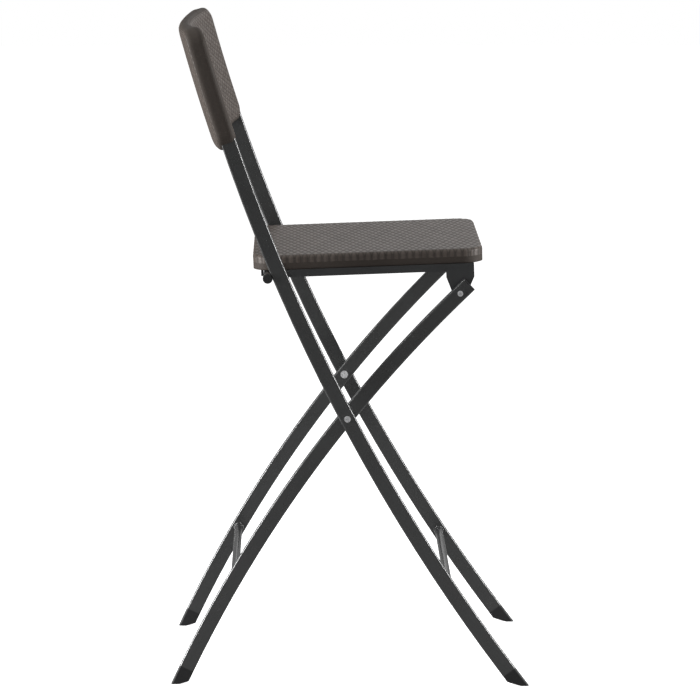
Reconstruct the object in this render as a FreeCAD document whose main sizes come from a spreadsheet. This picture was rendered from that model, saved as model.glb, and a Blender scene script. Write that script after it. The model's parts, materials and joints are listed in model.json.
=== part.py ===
import FreeCAD, Part
import math
import os
import Sketcher

# Folding bar stool, open on its feet. Millimetres, +Z up, sitter faces -Y.
# The long frame carries the backrest, the rear frame swings inside it, the seat folds on the rear frame.

doc = FreeCAD.newDocument("FoldingBarStool")

# Driving dimensions, in millimetres and degrees.
DIMENSIONS = {
    # overall layout of the two crossing leg frames
    "half_width": 225.0,
    "frame_gap": 7.8,
    "pivot_height": 463.0,
    "long_radius": 3216.0,
    "long_lean": 27.39,
    "rear_radius": 2282.0,
    "rear_lean": 38.54,
    "hinge_reach": 282.0,
    "rear_tail": 20.0,
    "tail_room": 2.0,
    # flattened oval tube of the legs
    "tube_depth": 25.5,
    "tube_thick": 13.0,
    "tube_wall": 1.5,
    "tube_corner": 3.0,
    # footrest bars between the legs
    "bar_reach": 339.0,
    "bar_diameter": 14.0,
    "bar_wall": 1.5,
    # plastic feet
    "foot_length": 30.0,
    "foot_plug": 18.0,
    "sole_flat": 13.0,
    "sole_reach": 40.0,
    "sole_lift": 8.0,
    # rod that the seat rests on, behind the long legs
    "rod_diameter": 14.0,
    "rod_wall": 1.5,
    "rod_overhang": 1.5,
    "rod_plug": 14.0,
    "collar_wall": 1.3,
    # backrest moulding on the tops of the long legs
    "back_reach": 494.5,
    "back_height": 208.0,
    "back_side": 34.0,
    "back_margin": 6.0,
    "back_hollow": 30.0,
    "back_bulge": 17.0,
    "back_corner": 28.0,
    "back_round": 9.0,
    "back_skin": 4.0,
    "back_socket": 180.0,
    # pivots
    "bolt_radius": 4.0,
    "bolt_head_radius": 5.2,
    "bolt_head": 3.0,
    "nut_radius": 6.5,
    "nut_height": 5.0,
    "washer_radius": 9.0,
    "hinge_bolt_radius": 3.0,
    "hinge_head_radius": 4.6,
    "nut_end": 1.0,
    "recess_margin": 2.2,
    "recess_width": 1.4,
    "recess_depth": 1.2,
    # seat, measured from the hinge bolt, forward and up, before the seat's own slope
    "seat_slope": 2.04,
    "seat_inset": 2.3,
    "seat_under": 48.5,
    "seat_thick": 24.0,
    "seat_front": 41.0,
    "seat_past_rod": 24.0,
    "seat_corner": 35.0,
    "seat_round": 5.0,
    "seat_skin": 4.0,
    "seat_rim": 9.0,
    "seat_rib": 4.0,
    "cell_corner": 14.0,
    # steel rails under the seat
    "rail_height": 12.5,
    "rail_flange": 20.0,
    "rail_sheet": 2.0,
    "rail_front": 25.0,
    "rail_gap": 3.5,
    "cross_width": 20.0,
    "cross_height": 10.0,
    "cross_inset": 40.0,
    # hinge plates
    "plate_sheet": 2.0,
    "plate_radius": 12.0,
    "plate_front": 25.0,
    "plate_rear": 22.0,
    "plate_shoulder": 26.0,
    "plate_slant": 15.0,
    "rivet_radius": 2.0,
    "rivet_head_radius": 2.8,
    "rivet_head": 1.2,
    # catches that hook over the rod
    "catch_place": 130.0,
    "catch_block": 1.0,
    "catch_width": 30.0,
    "catch_wall": 4.0,
    "catch_drop": 12.0,
    "screw_radius": 1.5,
    "screw_head_radius": 3.2,
    "screw_head": 1.6,
    "screw_length": 12.0,
    # clearances, and how far a cut starts outside the piece
    "running": 0.05,
    "apart": 0.3,
    "overshoot": 1.0,
}
CELL_ROWS = 4
CELL_COLUMNS = 4
BACK_CELLS = 5
SCREWS_PER_RAIL = 4

sheet = doc.addObject("Spreadsheet::Sheet", "Sizes")
for row, (alias, number) in enumerate(DIMENSIONS.items(), start=1):
    sheet.set(f"A{row}", str(number))
    sheet.setAlias(f"A{row}", alias)
doc.recompute()


class Size:
    """A length or angle that knows its value and the sheet formula behind it."""

    def __init__(self, value, formula):
        self.value = value
        self.formula = formula

    def __add__(self, other):
        other = size(other)
        return Size(self.value + other.value, f"({self.formula} + {other.formula})")

    def __sub__(self, other):
        other = size(other)
        return Size(self.value - other.value, f"({self.formula} - {other.formula})")

    def __mul__(self, other):
        other = size(other)
        return Size(self.value * other.value, f"({self.formula} * {other.formula})")

    def __truediv__(self, other):
        other = size(other)
        return Size(self.value / other.value, f"({self.formula} / {other.formula})")

    def __neg__(self):
        return self * -1

    __radd__ = __add__
    __rmul__ = __mul__


def size(number):
    """Turn a plain number into a Size, and leave a Size as it is."""
    if isinstance(number, Size):
        return number
    return Size(float(number), f"({number})")


def sine(angle):
    return Size(math.sin(math.radians(angle.value)), f"sin({angle.formula})")


def cosine(angle):
    return Size(math.cos(math.radians(angle.value)), f"cos({angle.formula})")


def arcsine(ratio):
    return Size(math.degrees(math.asin(ratio.value)), f"(asin({ratio.formula}) / 1deg)")



def root(square):
    return Size(math.sqrt(square.value), f"sqrt({square.formula})")


def as_degrees(arc, radius):
    """The angle, in degrees, of an arc length on a circle."""
    return arc / radius * (180.0 / math.pi)


dim = {name: Size(number, f"Sizes.{name}") for name, number in DIMENSIONS.items()}
ZERO = size(0)


class Curve:
    """Side view of a leg: a circle round a far centre, in the Y-Z plane.

    Angles turn from +Y towards +Z. Reach is the arc length above the leg pivot.
    """

    def __init__(self, radius, pivot_angle, foot_side):
        self.radius = radius
        self.pivot_angle = pivot_angle
        self.floor_angle = arcsine(sine(pivot_angle) - dim["pivot_height"] / radius)
        self.foot_side = foot_side
        foot = radius * (cosine(self.floor_angle) - cosine(pivot_angle))
        self.toe = foot + foot_side * dim["tube_depth"] / 2 / cosine(self.floor_angle)

    def set_centre(self, pivot_y):
        self.y = pivot_y - self.radius * cosine(self.pivot_angle)
        self.z = dim["pivot_height"] - self.radius * sine(self.pivot_angle)

    def angle(self, reach):
        return self.pivot_angle + as_degrees(reach, self.radius)

    def point(self, reach, outward=ZERO):
        """World Y and Z of a point at a reach, moved outward from the circle's centre."""
        angle = self.angle(reach)
        far = self.radius + outward
        return self.y + far * cosine(angle), self.z + far * sine(angle)


long_curve = Curve(dim["long_radius"], -dim["long_lean"], foot_side=-1)
rear_curve = Curve(dim["rear_radius"], dim["rear_lean"], foot_side=1)
# The toes of the two frames lie at equal distances in front of and behind the origin.
pivot_y = -(long_curve.toe + rear_curve.toe) / 2
long_curve.set_centre(pivot_y)
rear_curve.set_centre(pivot_y)
pivot_z = dim["pivot_height"]
hinge_y, hinge_z = rear_curve.point(dim["hinge_reach"])

long_outer = dim["half_width"]
long_inner = long_outer - dim["tube_thick"]
rear_outer = long_inner - dim["frame_gap"]
rear_inner = rear_outer - dim["tube_thick"]
plate_outer = rear_inner - dim["apart"]
plate_inner = plate_outer - dim["plate_sheet"]
SIDES = {"right": -1, "left": 1}


def new_body(label, base_y, base_z, turn=ZERO):
    """An empty body whose own X axis stays along the world's X axis."""
    body = doc.addObject("PartDesign::Body", label)
    body.Label = label
    turned = FreeCAD.Rotation(FreeCAD.Vector(1, 0, 0), turn.value)
    body.Placement = FreeCAD.Placement(FreeCAD.Vector(0, base_y.value, base_z.value), turned)
    body.setExpression("Placement.Base.y", base_y.formula)
    body.setExpression("Placement.Base.z", base_z.formula)
    if turn is not ZERO:
        body.setExpression("Placement.Rotation.Angle", turn.formula)
    return body


def new_sketch(body, role, offset=ZERO, turn=ZERO):
    """A sketch on one of the body's own planes, moved along its normal or turned about its X axis."""
    sketch = body.newObject("Sketcher::SketchObject", "Outline")
    plane = next(item for item in body.Origin.OriginFeatures if item.Role == role)
    sketch.AttachmentSupport = [(plane, "")]
    sketch.MapMode = "FlatFace"
    turned = FreeCAD.Rotation(FreeCAD.Vector(1, 0, 0), turn.value)
    sketch.AttachmentOffset = FreeCAD.Placement(FreeCAD.Vector(0, 0, offset.value), turned)
    if offset is not ZERO:
        sketch.setExpression("AttachmentOffset.Base.z", offset.formula)
    if turn is not ZERO:
        sketch.setExpression("AttachmentOffset.Rotation.Angle", turn.formula)
    return sketch


def bind(sketch, kind, *where, amount):
    """One dimension of a sketch, bound to its formula."""
    index = sketch.addConstraint(Sketcher.Constraint(kind, *where, amount.value))
    sketch.setExpression(f"Constraints[{index}]", amount.formula)


def draw_outline(sketch, corners, arcs=None):
    """A closed outline through corners; arcs maps an edge's number to its radius and its turn.

    A turn of 1 bends the edge anticlockwise, -1 bends it clockwise.
    """
    arcs = arcs or {}
    first = sketch.GeometryCount
    count = len(corners)
    ends = []
    for number in range(count):
        start = FreeCAD.Vector(corners[number][0].value, corners[number][1].value, 0)
        finish_corner = corners[(number + 1) % count]
        finish = FreeCAD.Vector(finish_corner[0].value, finish_corner[1].value, 0)
        if number not in arcs:
            sketch.addGeometry(Part.LineSegment(start, finish), False)
            ends.append((1, 2))
            continue
        radius, bend = arcs[number]
        chord = finish - start
        rise = math.sqrt(max(radius.value ** 2 - chord.Length ** 2 / 4, 0))
        across = FreeCAD.Vector(-chord.y, chord.x, 0).normalize()
        centre = (start + finish) / 2 + across * rise * bend
        low, high = (start, finish) if bend > 0 else (finish, start)
        low_angle = math.atan2(low.y - centre.y, low.x - centre.x)
        high_angle = math.atan2(high.y - centre.y, high.x - centre.x)
        circle = Part.Circle(centre, FreeCAD.Vector(0, 0, 1), radius.value)
        sketch.addGeometry(Part.ArcOfCircle(circle, low_angle, high_angle), False)
        ends.append((1, 2) if bend > 0 else (2, 1))
    for number in range(count):
        after = (number + 1) % count
        joint = (first + number, ends[number][1], first + after, ends[after][0])
        sketch.addConstraint(Sketcher.Constraint("Coincident", *joint))
    for number, (along, up) in enumerate(corners):
        bind(sketch, "DistanceX", -1, 1, first + number, ends[number][0], amount=along)
        bind(sketch, "DistanceY", -1, 1, first + number, ends[number][0], amount=up)
    for number, (radius, _) in arcs.items():
        bind(sketch, "Radius", first + number, amount=radius)


def draw_rectangle(sketch, left, low, right, high, corner=None):
    """A rectangle between two corners, with rounded corners where a radius is given."""
    if corner is None:
        draw_outline(sketch, [(left, low), (right, low), (right, high), (left, high)])
        return
    corners = [
        (left + corner, low), (right - corner, low), (right, low + corner), (right, high - corner),
        (right - corner, high), (left + corner, high), (left, high - corner), (left, low + corner),
    ]
    draw_outline(sketch, corners, {edge: (corner, 1) for edge in (1, 3, 5, 7)})


def draw_circle(sketch, along, up, radius):
    place = FreeCAD.Vector(along.value, up.value, 0)
    circle = Part.Circle(place, FreeCAD.Vector(0, 0, 1), radius.value)
    number = sketch.addGeometry(circle, False)
    bind(sketch, "DistanceX", -1, 1, number, 3, amount=along)
    bind(sketch, "DistanceY", -1, 1, number, 3, amount=up)
    bind(sketch, "Radius", number, amount=radius)


def pad(body, sketch, length):
    """Extrude a sketch along its normal."""
    feature = body.newObject("PartDesign::Pad", "Pad")
    feature.Profile = sketch
    feature.Length = length.value
    feature.setExpression("Length", length.formula)
    body.Tip = feature
    doc.recompute()
    return feature


def cut(body, sketch, length, along_normal=True):
    """Cut a sketch's outline out of the body, along or against the sketch's normal."""
    before = body.Shape.Volume
    feature = body.newObject("PartDesign::Pocket", "Cut")
    feature.Profile = sketch
    feature.Length = length.value
    feature.setExpression("Length", length.formula)
    feature.Reversed = along_normal
    body.Tip = feature
    doc.recompute()
    if not body.Shape.Volume < before:
        raise ValueError(f"{body.Label}: a cut removed nothing")
    return feature


def revolve(body, sketch, angle, kind="Revolution"):
    """Turn a section about the sketch's own horizontal axis, to add or, as a Groove, to cut."""
    before = body.Shape.Volume if kind == "Groove" else 0
    feature = body.newObject(f"PartDesign::{kind}", kind)
    feature.Profile = sketch
    feature.ReferenceAxis = (sketch, ["H_Axis"])
    feature.Angle = angle.value
    feature.setExpression("Angle", angle.formula)
    body.Tip = feature
    doc.recompute()
    if kind == "Groove" and not body.Shape.Volume < before:
        raise ValueError(f"{body.Label}: a groove removed nothing")
    return feature


def fillet(body, chosen, radius):
    """Round the tip's edges that the chosen test accepts."""
    base = body.Tip
    names = [f"Edge{n}" for n, edge in enumerate(base.Shape.Edges, start=1) if chosen(edge)]
    feature = body.newObject("PartDesign::Fillet", "Round")
    feature.Base = (base, names)
    feature.Radius = radius.value
    feature.setExpression("Radius", radius.formula)
    body.Tip = feature
    doc.recompute()
    return feature


def between(side, inner, outer):
    """Lowest and highest X of something between two distances from the middle, on one side."""
    return (inner, outer) if side > 0 else (-outer, -inner)


def turned_body(label, place_y, place_z, steps, turn=ZERO):
    """Stacked discs along X about one axis. Each step is low X, high X, radius and bore radius."""
    body = new_body(label, place_y, place_z, turn)
    for low, high, radius, bore in steps:
        sketch = new_sketch(body, "YZ_Plane", offset=low)
        draw_circle(sketch, ZERO, ZERO, radius)
        if bore is not None:
            draw_circle(sketch, ZERO, ZERO, bore)
        pad(body, sketch, high - low)
    return body


def bore_body(body, along, up, radius, low, high):
    """A round hole along X through a body, at a place in the body's own Y and Z."""
    sketch = new_sketch(body, "YZ_Plane", offset=low)
    draw_circle(sketch, along, up, radius)
    cut(body, sketch, high - low)


def section(sketch, curve, low, high, shrink=ZERO, corner=None):
    """The leg tube's section between two X values, on the leg's circle, made smaller by shrink."""
    half_depth = dim["tube_depth"] / 2 - shrink
    near = curve.radius - half_depth
    far = curve.radius + half_depth
    draw_rectangle(sketch, low + shrink, near, high - shrink, far, corner)


def make_leg(label, curve, side, inner, outer, top_reach, holes):
    """A hollow bent tube from the top of its foot up to a reach, with holes at given reaches."""
    low, high = between(side, inner, outer)
    body = new_body(label, curve.y, curve.z)
    start = curve.floor_angle + as_degrees(dim["foot_length"], curve.radius)
    sketch = new_sketch(body, "XY_Plane", turn=start)
    section(sketch, curve, low, high, corner=dim["tube_corner"])
    inner_corner = dim["tube_corner"] - dim["tube_wall"]
    section(sketch, curve, low, high, dim["tube_wall"], inner_corner)
    revolve(body, sketch, curve.angle(top_reach) - start)
    for reach, radius in holes:
        angle = curve.angle(reach)
        along = curve.radius * cosine(angle)
        up = curve.radius * sine(angle)
        past = dim["overshoot"]
        bore_body(body, along, up, radius, low - past, high + past)
    return body


def make_foot(label, curve, side, inner, outer):
    """A plastic foot: the tube's outline down to the floor, a plug inside the tube and a bevelled sole."""
    low, high = between(side, inner, outer)
    body = new_body(label, curve.y, curve.z)
    top = curve.floor_angle + as_degrees(dim["foot_length"], curve.radius)
    bottom = curve.floor_angle - as_degrees(dim["tube_depth"], curve.radius)
    sketch = new_sketch(body, "XY_Plane", turn=bottom)
    section(sketch, curve, low, high, corner=dim["tube_corner"])
    revolve(body, sketch, top - bottom)
    sketch = new_sketch(body, "XY_Plane", turn=top)
    plug_corner = dim["tube_corner"] - dim["tube_wall"]
    section(sketch, curve, low, high, dim["tube_wall"] + dim["running"], plug_corner)
    revolve(body, sketch, as_degrees(dim["foot_plug"], curve.radius))
    outward = curve.foot_side
    toe = curve.toe + curve.radius * cosine(curve.pivot_angle)
    floor = -curve.z
    deep = floor - 2 * dim["tube_depth"]
    sole = [
        (toe + outward * dim["tube_depth"], deep),
        (toe + outward * dim["tube_depth"], floor),
        (toe - outward * dim["sole_flat"], floor),
        (toe - outward * dim["sole_reach"], floor + dim["sole_lift"]),
        (toe - outward * dim["sole_reach"], deep),
    ]
    sketch = new_sketch(body, "YZ_Plane", offset=low - dim["overshoot"])
    draw_outline(sketch, sole)
    cut(body, sketch, dim["tube_thick"] + 2 * dim["overshoot"])
    return body


def make_long_legs():
    top = dim["back_reach"] + dim["back_socket"]
    for name, side in SIDES.items():
        hole = (ZERO, dim["bolt_radius"])
        make_leg(f"long_leg_{name}", long_curve, side, long_inner, long_outer, top, [hole])
        make_foot(f"front_foot_{name}", long_curve, side, long_inner, long_outer)


def make_rear_legs():
    top = dim["hinge_reach"] + dim["rear_tail"]
    holes = [(ZERO, dim["bolt_radius"] + dim["running"]), (dim["hinge_reach"], dim["hinge_bolt_radius"])]
    for name, side in SIDES.items():
        make_leg(f"rear_leg_{name}", rear_curve, side, rear_inner, rear_outer, top, holes)
        make_foot(f"rear_foot_{name}", rear_curve, side, rear_inner, rear_outer)
        make_top_plug(name, side, top)


def make_top_plug(name, side, top):
    """A plastic plug that closes the cut top of a rear leg."""
    low, high = between(side, rear_inner, rear_outer)
    body = new_body(f"rear_leg_plug_{name}", rear_curve.y, rear_curve.z)
    head = new_sketch(body, "XY_Plane", turn=rear_curve.angle(top))
    section(head, rear_curve, low, high, corner=dim["tube_corner"])
    revolve(body, head, as_degrees(dim["tube_wall"], rear_curve.radius))
    room = dim["rear_tail"] - dim["hinge_bolt_radius"] - dim["tail_room"]
    stem = new_sketch(body, "XY_Plane", turn=rear_curve.angle(top - room))
    stem_corner = dim["tube_corner"] - dim["tube_wall"]
    section(stem, rear_curve, low, high, dim["tube_wall"] + dim["running"], stem_corner)
    revolve(body, stem, as_degrees(room, rear_curve.radius))


def make_footrest(label, curve, inner):
    """A round tube welded between the two legs of a frame."""
    place_y, place_z = curve.point(-dim["bar_reach"])
    radius = dim["bar_diameter"] / 2
    turned_body(label, place_y, place_z, [(-inner, inner, radius, radius - dim["bar_wall"])])


def make_rod():
    """The seat's rest rod behind the long legs, its plugs and the collars that hold it."""
    radius = dim["rod_diameter"] / 2
    end = long_outer + dim["rod_overhang"]
    bore = radius - dim["rod_wall"]
    turned_body("seat_rest_rod", rod_y, rod_z, [(-end, end, radius, bore)])
    for name, side in SIDES.items():
        stem = between(side, end - dim["rod_plug"], end)
        cap = between(side, end, end + dim["rod_wall"])
        steps = [(*stem, bore - dim["running"], None), (*cap, radius, None)]
        turned_body(f"rod_plug_{name}", rod_y, rod_z, steps)
        make_collar(name, side, radius)


def make_collar(name, side, radius):
    """A steel strap round the rod, cut flat where it is welded to the back of the leg."""
    low, high = between(side, long_inner, long_outer)
    body = new_body(f"rod_strap_{name}", long_curve.y, long_curve.z)
    along = rod_y - long_curve.y
    up = rod_z - long_curve.z
    sketch = new_sketch(body, "YZ_Plane", offset=low)
    draw_circle(sketch, along, up, radius + dim["collar_wall"])
    draw_circle(sketch, along, up, radius + dim["running"])
    pad(body, sketch, high - low)
    spread = as_degrees(2 * dim["rod_diameter"], long_curve.radius)
    rod_angle = arcsine(up / (long_curve.radius + dim["tube_depth"] / 2 + radius))
    groove = new_sketch(body, "XY_Plane", turn=rod_angle - spread)
    face = long_curve.radius + dim["tube_depth"] / 2
    past = dim["overshoot"]
    draw_rectangle(groove, low - past, face - dim["tube_depth"], high + past, face)
    revolve(body, groove, 2 * spread, "Groove")


def back_arc(bulge, half_chord):
    """Radius of the arc that rises by a bulge over a chord."""
    return (half_chord * half_chord + bulge * bulge) / (2 * bulge)


def make_backrest():
    """A moulded panel, hollow side forward, that slides down over the tops of both long legs."""
    half = long_outer + dim["back_margin"]
    radius = long_curve.radius
    front = radius - dim["back_side"] / 2
    rear = radius + dim["back_side"] / 2
    low_angle = long_curve.angle(dim["back_reach"])
    body = new_body("backrest_panel", long_curve.y, long_curve.z)
    sketch = new_sketch(body, "XY_Plane", turn=low_angle)
    corners = [(-half, front), (half, front), (half, rear), (-half, rear)]
    front_arc = (back_arc(dim["back_hollow"], half), -1)
    rear_arc = (back_arc(dim["back_bulge"], half), 1)

    def runs_through(edge):
        """The four corner edges, which run from front to rear at the panel's sides."""
        straight = edge.BoundBox.XLength < dim["back_skin"].value
        return straight and edge.Length < (dim["back_height"] / 2).value

    draw_outline(sketch, corners, {0: front_arc, 2: rear_arc})
    revolve(body, sketch, as_degrees(dim["back_height"], radius))
    fillet(body, runs_through, dim["back_corner"])
    fillet(body, lambda edge: True, dim["back_round"])
    start = low_angle - as_degrees(dim["back_round"], radius)
    socket_angle = as_degrees(dim["back_socket"] + dim["back_round"], radius)
    for side in SIDES.values():
        low, high = between(side, long_inner, long_outer)
        socket = new_sketch(body, "XY_Plane", turn=start)
        section(socket, long_curve, low, high, -dim["running"], dim["tube_corner"])
        revolve(body, socket, socket_angle, "Groove")
    make_back_cells(body, start, socket_angle)


def make_back_cells(body, start, angle):
    """Hollows between ribs inside the backrest, open along its lower edge."""
    inner = long_inner - dim["back_skin"]
    half = long_outer + dim["back_margin"]
    pitch = (2 * inner + dim["back_skin"]) / BACK_CELLS
    shallow = long_curve.radius - dim["back_side"] / 2 + dim["back_skin"]
    deep = long_curve.radius + dim["back_side"] / 2 - dim["back_skin"]

    def hollow(bulge, across):
        """How far back an arc of the given bulge lies at a distance from the middle."""
        share = across / half
        return bulge - bulge * share * share

    cells = new_sketch(body, "XY_Plane", turn=start)
    for number in range(BACK_CELLS):
        left = -inner + pitch * number
        right = left + pitch - dim["back_skin"]
        outline = [
            (left, shallow + hollow(dim["back_hollow"], left)),
            (right, shallow + hollow(dim["back_hollow"], right)),
            (right, deep + hollow(dim["back_bulge"], right)),
            (left, deep + hollow(dim["back_bulge"], left)),
        ]
        draw_outline(cells, outline)
    revolve(body, cells, angle, "Groove")


def make_recess(body, head_face, side, radius):
    """A cross recess in the outer face of a bolt head."""
    reach = radius - dim["recess_margin"]
    half = dim["recess_width"] / 2
    low, _ = between(side, head_face - dim["recess_depth"], head_face)
    for along, up in ((reach, half), (half, reach)):
        slot = new_sketch(body, "YZ_Plane", offset=low)
        draw_rectangle(slot, -along, -up, along, up)
        cut(body, slot, dim["recess_depth"])


def make_leg_pivots():
    """Bolts, spacing washers and cap nuts where the two frames cross."""
    nut_face = rear_inner - dim["apart"]
    for name, side in SIDES.items():
        head_face = long_outer + dim["bolt_head"]
        head = between(side, long_outer, head_face)
        shank = between(side, nut_face - dim["nut_height"] + dim["nut_end"], long_outer)
        steps = [(*shank, dim["bolt_radius"], None), (*head, dim["bolt_head_radius"], None)]
        bolt = turned_body(f"leg_pivot_bolt_{name}", pivot_y, pivot_z, steps)
        make_recess(bolt, head_face, side, dim["bolt_head_radius"])
        nut = between(side, nut_face - dim["nut_height"] + dim["nut_end"], nut_face)
        cap = between(side, nut_face - dim["nut_height"], nut_face - dim["nut_height"] + dim["nut_end"])
        steps = [(*nut, dim["nut_radius"], dim["bolt_radius"]), (*cap, dim["nut_radius"], None)]
        turned_body(f"leg_pivot_nut_{name}", pivot_y, pivot_z, steps)
        washer = between(side, rear_outer + dim["apart"], long_inner)
        steps = [(*washer, dim["washer_radius"], dim["bolt_radius"])]
        turned_body(f"leg_pivot_washer_{name}", pivot_y, pivot_z, steps)


def make_seat_hinges():
    """Bolts and nuts, fixed in the rear legs, that the seat's plates turn on."""
    nut_face = plate_inner - dim["apart"]
    for name, side in SIDES.items():
        head_face = rear_outer + dim["bolt_head"]
        head = between(side, rear_outer, head_face)
        shank = between(side, nut_face - dim["nut_height"] + dim["nut_end"], rear_outer)
        steps = [(*shank, dim["hinge_bolt_radius"], None), (*head, dim["hinge_head_radius"], None)]
        bolt = turned_body(f"seat_hinge_bolt_{name}", hinge_y, hinge_z, steps)
        make_recess(bolt, head_face, side, dim["hinge_head_radius"])
        nut = between(side, nut_face - dim["nut_height"] + dim["nut_end"], nut_face)
        cap = between(side, nut_face - dim["nut_height"], nut_face - dim["nut_height"] + dim["nut_end"])
        nut_radius = dim["hinge_head_radius"]
        steps = [(*nut, nut_radius, dim["hinge_bolt_radius"]), (*cap, nut_radius, None)]
        turned_body(f"seat_hinge_nut_{name}", hinge_y, hinge_z, steps)


seat_turn = -dim["seat_slope"]
under = dim["seat_under"]
rod_radius = dim["rod_diameter"] / 2
rod_up = under - dim["catch_block"] - dim["apart"] - rod_radius


def rod_distance():
    """How far behind the hinge, along the seat, the rod lies against the rear faces of the long legs."""
    far = long_curve.radius + dim["tube_depth"] / 2 + rod_radius
    over = hinge_y - long_curve.y - rod_up * sine(seat_turn)
    up = hinge_z - long_curve.z + rod_up * cosine(seat_turn)
    along = over * cosine(seat_turn) + up * sine(seat_turn)
    return root(far * far - over * over - up * up + along * along) - along


rod_along = rod_distance()
rod_y = hinge_y + rod_along * cosine(seat_turn) - rod_up * sine(seat_turn)
rod_z = hinge_z + rod_along * sine(seat_turn) + rod_up * cosine(seat_turn)
rail_rear = rod_along - rod_radius - dim["rail_gap"]
rail_length = rail_rear + dim["rail_front"]
rail_outer = plate_inner
rail_inner = rail_outer - dim["rail_sheet"]
seat_half = rail_outer - dim["seat_inset"]
seat_back = rod_along + dim["seat_past_rod"]


def screw_places():
    """Distances behind the hinge of the screws along a rail, clear of the cross rails."""
    clear = dim["screw_head_radius"] + dim["rail_sheet"]
    first = dim["cross_inset"] - dim["rail_front"] + dim["cross_width"] + clear
    last = rail_rear - dim["cross_inset"] - clear
    step = (last - first) / (SCREWS_PER_RAIL - 1)
    return [first + step * number for number in range(SCREWS_PER_RAIL)]


def screw_across():
    """Distance of the rail screws from the middle: the centre of the panel's rim."""
    return seat_half - dim["seat_rim"] / 2


def make_seat_panel():
    """The moulded seat: a thin top with a rim and ribs below."""
    body = new_body("seat_panel", hinge_y, hinge_z, seat_turn)
    half = seat_half
    plan = new_sketch(body, "XY_Plane", offset=under)
    draw_rectangle(plan, -half, -dim["seat_front"], half, seat_back, dim["seat_corner"])
    pad(body, plan, dim["seat_thick"])
    top = (under + dim["seat_thick"]).value

    def on_top(edge):
        box = edge.BoundBox
        return box.ZMin > top - 0.01 and box.ZMax < top + 0.01

    fillet(body, on_top, dim["seat_round"])
    rim = dim["seat_rim"]
    rib = dim["seat_rib"]
    width = (2 * half - 2 * rim + rib) / CELL_COLUMNS
    depth = (dim["seat_front"] + seat_back - 2 * rim + rib) / CELL_ROWS
    for column in range(CELL_COLUMNS):
        for row in range(CELL_ROWS):
            left = -half + rim + width * column
            front = -dim["seat_front"] + rim + depth * row
            right = left + width - rib
            back = front + depth - rib
            cell = new_sketch(body, "XY_Plane", offset=under)
            draw_rectangle(cell, left, front, right, back, dim["cell_corner"])
            cut(body, cell, dim["seat_thick"] - dim["seat_skin"])
    holes = new_sketch(body, "XY_Plane", offset=under)
    for side in SIDES.values():
        for place in screw_places():
            draw_circle(holes, side * screw_across(), place, dim["screw_radius"])
    cut(body, holes, dim["screw_length"])


def make_seat_rails():
    """Angle-section steel rails under the panel's sides, with their cross members."""
    sheet_thick = dim["rail_sheet"]
    for name, side in SIDES.items():
        body = new_body(f"seat_rail_{name}", hinge_y, hinge_z, seat_turn)
        sketch = new_sketch(body, "XZ_Plane", offset=-rail_rear)
        low = under - dim["rail_height"]
        edge = side * rail_outer
        web = side * rail_inner
        toe = side * (rail_outer - dim["rail_flange"])
        shelf = under - sheet_thick
        corners = [(edge, low), (edge, under), (toe, under), (toe, shelf), (web, shelf), (web, low)]
        draw_outline(sketch, corners)
        pad(body, sketch, rail_length)
        holes = new_sketch(body, "XY_Plane", offset=under - sheet_thick)
        for place in screw_places():
            draw_circle(holes, side * screw_across(), place, dim["screw_radius"] + dim["running"])
        cut(body, holes, sheet_thick)
        for place, up in rivet_places():
            low_x, high_x = between(side, rail_inner, rail_outer)
            bore_body(body, place, up, dim["rivet_radius"], low_x, high_x)
    inset = dim["cross_inset"]
    rear_start = rail_rear - inset
    for name, start in (("front", inset - dim["rail_front"]), ("rear", rear_start)):
        body = new_body(f"seat_cross_rail_{name}", hinge_y, hinge_z, seat_turn)
        sketch = new_sketch(body, "YZ_Plane", offset=-rail_inner)
        high = under - sheet_thick
        low = high - dim["cross_height"]
        end = start + dim["cross_width"]
        corners = [
            (start, low), (start + sheet_thick, low), (start + sheet_thick, high - sheet_thick),
            (end - sheet_thick, high - sheet_thick), (end - sheet_thick, low), (end, low),
            (end, high), (start, high),
        ]
        draw_outline(sketch, corners)
        pad(body, sketch, 2 * rail_inner)


def rivet_places():
    """Places of the rivets in the hinge plates, in the seat's own Y and Z."""
    up = under - dim["rail_height"] / 2
    inset = 2 * dim["rivet_head_radius"]
    return [(-dim["plate_front"] + inset, up), (dim["plate_rear"] - inset, up)]


def make_hinge_plates():
    """Steel plates riveted to the rails' outer faces, with the hinge bolt's hole at the lower end."""
    radius = dim["plate_radius"]
    slant = dim["plate_slant"]
    shoulder = dim["plate_shoulder"]
    top = under - dim["apart"]
    corners = [
        (-dim["plate_front"], top), (-dim["plate_front"], shoulder),
        (-radius * cosine(slant), -radius * sine(slant)), (radius * cosine(slant), -radius * sine(slant)),
        (dim["plate_rear"], shoulder), (dim["plate_rear"], top),
    ]
    for name, side in SIDES.items():
        low, high = between(side, plate_inner, plate_outer)
        body = new_body(f"hinge_plate_{name}", hinge_y, hinge_z, seat_turn)
        sketch = new_sketch(body, "YZ_Plane", offset=low)
        draw_outline(sketch, corners, {2: (radius, 1)})
        pad(body, sketch, high - low)
        holes = [(ZERO, ZERO, dim["hinge_bolt_radius"] + dim["running"])]
        holes += [(place, up, dim["rivet_radius"]) for place, up in rivet_places()]
        for place, up, hole_radius in holes:
            bore_body(body, place, up, hole_radius, low, high)


def make_catches():
    """Hooks under the back of the seat that lie on the rod and reach down behind it."""
    front = rod_along - rod_radius
    inner = rod_along + rod_radius + 2 * dim["apart"]
    outer = inner + dim["catch_wall"]
    rest = rod_up + rod_radius + dim["apart"]
    tip = rod_up + rod_radius - dim["catch_drop"]
    corners = [(front, rest), (inner, rest), (inner, tip), (outer, tip), (outer, under), (front, under)]
    for name, side in SIDES.items():
        low, high = between(side, dim["catch_place"], dim["catch_place"] + dim["catch_width"])
        body = new_body(f"seat_catch_{name}", hinge_y, hinge_z, seat_turn)
        sketch = new_sketch(body, "YZ_Plane", offset=low)
        draw_outline(sketch, corners)
        pad(body, sketch, high - low)


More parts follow.
